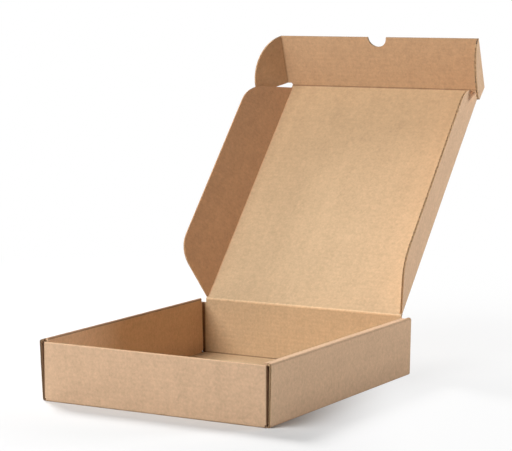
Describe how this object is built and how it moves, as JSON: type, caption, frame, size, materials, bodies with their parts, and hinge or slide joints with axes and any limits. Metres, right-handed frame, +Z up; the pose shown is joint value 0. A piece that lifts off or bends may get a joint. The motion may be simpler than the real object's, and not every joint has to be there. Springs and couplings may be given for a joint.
{
  "type": "presentation box",
  "caption": "Open one-piece corrugated mailer box: roll-over side walls with locking tabs, hinged lid with side flaps, front flap with ears and a thumb notch.",
  "frame": {"origin": "centre of the tray's base, on the floor", "axes": "+X to the right along the front wall, +Y from the front wall to the lid's hinge, +Z up"},
  "size_m": [0.3637, 0.6309, 0.4431],
  "materials": {
    "kraft_board": "plain brown kraft liner over a fluted medium, matt"
  },
  "bodies": {
    "tray": {"tray": "kraft_board"},
    "lid": {"lid": "kraft_board"},
    "left_side_flap": {"left_side_flap": "kraft_board"},
    "right_side_flap": {"right_side_flap": "kraft_board"},
    "front_flap": {"front_flap": "kraft_board"},
    "left_ear": {"left_ear": "kraft_board"},
    "right_ear": {"right_ear": "kraft_board"}
  },
  "joints": [
    {"name": "lid_hinge", "type": "hinge", "parent": "tray", "child": "lid", "pos_m": [0, 0.18885, 0.0792], "axis": [-1, 0, 0], "range_deg": [-130.9, 3]},
    {"name": "left_side_flap_fold", "type": "hinge", "parent": "lid", "child": "left_side_flap", "pos_m": [-0.1513, 0.18885, 0.0792], "axis": [0, -0.6547, -0.7559], "range_deg": [-51.15, 1.27]},
    {"name": "right_side_flap_fold", "type": "hinge", "parent": "lid", "child": "right_side_flap", "pos_m": [0.1513, 0.18885, 0.0792], "axis": [0, 0.6547, 0.7559], "range_deg": [-24.97, 0.67]},
    {"name": "front_flap_fold", "type": "hinge", "parent": "lid", "child": "front_flap", "pos_m": [0, 0.43929, 0.36831], "axis": [-1, 0, 0], "range_deg": [-31.6, 58.4]},
    {"name": "left_ear_fold", "type": "hinge", "parent": "front_flap", "child": "left_ear", "pos_m": [-0.159, 0.43929, 0.36831], "axis": [0, -0.3007, 0.9537], "range_deg": [-59.1, 1.45]},
    {"name": "right_ear_fold", "type": "hinge", "parent": "front_flap", "child": "right_ear", "pos_m": [0.159, 0.43929, 0.36831], "axis": [0, 0.3007, -0.9537], "range_deg": [-75.3, 1.82]}
  ],
  "couplings": [
    {"joint": "left_side_flap_fold", "follows": "lid_hinge", "ratio": 0.39},
    {"joint": "right_side_flap_fold", "follows": "lid_hinge", "ratio": 0.19},
    {"joint": "left_ear_fold", "follows": "lid_hinge", "ratio": 0.45073},
    {"joint": "right_ear_fold", "follows": "lid_hinge", "ratio": 0.57448}
  ]
}
